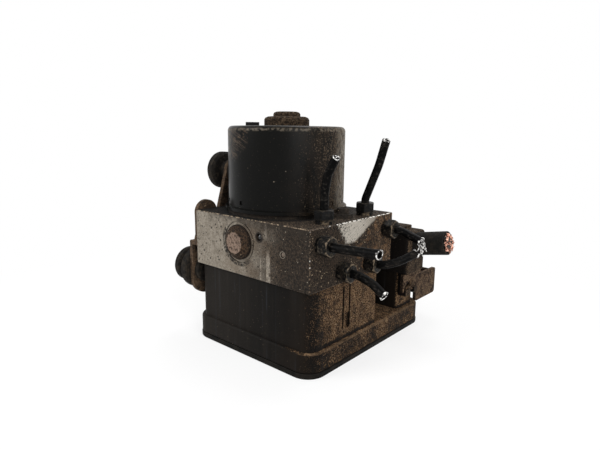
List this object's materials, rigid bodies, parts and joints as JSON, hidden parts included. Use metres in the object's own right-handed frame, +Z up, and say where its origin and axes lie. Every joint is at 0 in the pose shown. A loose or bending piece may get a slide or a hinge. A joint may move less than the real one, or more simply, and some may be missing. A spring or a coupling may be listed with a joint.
{
  "type": "abs brake module",
  "caption": "Anti-lock brake module: valve block with pump motor, controller, rubber-mounted bracket, cut brake pipes and a cut harness plug.",
  "frame": {"origin": "on the underside of the controller cover, below the pump motor's axis", "axes": "+Z up along the motor axis; -Y the face with the front pump plug; +X the face with the four wheel pipes; +Y the connector end"},
  "size_m": [0.1685, 0.1574, 0.1567],
  "materials": {
    "black_plastic": "moulded, dusty",
    "cover_plastic": "moulded",
    "block_aluminium": "sawn and weathered, dirty",
    "can_steel": "satin black coating, dusty",
    "plate_steel": "dull",
    "rusty_steel": "surface rust",
    "pipe_coating": "black coating",
    "nut_steel": "blackened",
    "rubber": "matt, dusty",
    "bright_steel": "ground",
    "copper": "bare copper",
    "iron_stack": "laminated",
    "ferrite": "ceramic magnet",
    "carbon": "carbon brush",
    "board_green": "circuit board",
    "chip_black": "chip",
    "coil_wrap": "wound wire and bobbin",
    "seal_rubber": "silicone",
    "cable_jacket": "cable jacket",
    "pin_metal": "tinned brass"
  },
  "bodies": {
    "module": {"ecu_housing": "black_plastic", "ecu_cover": "cover_plastic", "circuit_board": "board_green", "ecu_seal": "seal_rubber", "solenoid_coils": "coil_wrap", "inlet_valves": "bright_steel", "outlet_valves": "bright_steel", "ecu_screws": "bright_steel", "connector_pins": "pin_metal", "control_chip": "chip_black", "filter_capacitors": "pin_metal", "valve_block": "block_aluminium", "pump_plugs": "rusty_steel", "pump_spring_front": "bright_steel", "pump_spring_rear": "bright_steel", "ball_plugs": "bright_steel", "accumulator_spring_front": "bright_steel", "accumulator_spring_rear": "bright_steel", "accumulator_caps": "block_aluminium", "motor_can": "can_steel", "motor_end_plate": "plate_steel", "lower_bearing": "bright_steel", "upper_bearing": "bright_steel", "field_magnets": "ferrite", "brush_plate": "chip_black", "brushes": "carbon", "brush_springs": "bright_steel", "motor_screws": "nut_steel", "motor_contacts": "copper", "contact_sleeve": "chip_black", "vent_cap": "black_plastic", "inlet_nuts": "nut_steel", "outlet_nuts": "nut_steel", "inlet_pipe_front": "pipe_coating", "inlet_pipe_rear": "pipe_coating", "outlet_pipe_upper_front": "pipe_coating", "outlet_pipe_lower_front": "pipe_coating", "outlet_pipe_lower_rear": "pipe_coating", "outlet_pipe_upper_rear": "pipe_coating", "mounting_bracket": "rusty_steel", "bush_upper": "rubber", "bush_lower_front": "rubber", "bush_lower_rear": "rubber", "bush_sleeves": "rusty_steel", "bracket_bolts": "rusty_steel"},
    "rotor": {"motor_shaft": "bright_steel", "armature_core": "iron_stack", "armature_windings": "copper", "commutator": "copper", "eccentric_ring": "bright_steel"},
    "front_pump_piston": {"pump_piston_front": "bright_steel"},
    "rear_pump_piston": {"pump_piston_rear": "bright_steel"},
    "front_accumulator_piston": {"accumulator_piston_front": "bright_steel"},
    "rear_accumulator_piston": {"accumulator_piston_rear": "bright_steel"},
    "plug": {"harness_plug": "black_plastic", "terminal_carrier": "chip_black", "plug_seal": "seal_rubber", "harness_jacket": "cable_jacket", "harness_wires": "copper"},
    "slide": {"slide_lock": "black_plastic"}
  },
  "joints": [
    {"name": "motor_spin", "type": "hinge", "parent": "module", "child": "rotor", "pos_m": [0, 0, 0.11], "axis": [0, 0, 1], "continuous": true},
    {"name": "front_pump_stroke", "type": "slide", "parent": "module", "child": "front_pump_piston", "axis": [0, -1, 0], "range_m": [0, 0.002], "stiffness_N_per_m": 900, "springref_m": -0.006, "deforming": ["pump_spring_front"]},
    {"name": "rear_pump_stroke", "type": "slide", "parent": "module", "child": "rear_pump_piston", "axis": [0, 1, 0], "range_m": [0, 0.002], "stiffness_N_per_m": 900, "springref_m": -0.006, "deforming": ["pump_spring_rear"]},
    {"name": "front_accumulator_stroke", "type": "slide", "parent": "module", "child": "front_accumulator_piston", "axis": [-1, 0, 0], "range_m": [0, 0.006], "stiffness_N_per_m": 1500, "springref_m": -0.006, "deforming": ["accumulator_spring_front"]},
    {"name": "rear_accumulator_stroke", "type": "slide", "parent": "module", "child": "rear_accumulator_piston", "axis": [-1, 0, 0], "range_m": [0, 0.006], "stiffness_N_per_m": 1500, "springref_m": -0.006, "deforming": ["accumulator_spring_rear"]},
    {"name": "plug_lift", "type": "slide", "parent": "module", "child": "plug", "axis": [0, 0, 1], "range_m": [0, 0.004]},
    {"name": "lock_pull", "type": "slide", "parent": "plug", "child": "slide", "axis": [0, 1, 0], "range_m": [0, 0.008]}
  ],
  "couplings": [
    {"joint": "plug_lift", "follows": "lock_pull", "ratio": 0.5}
  ]
}
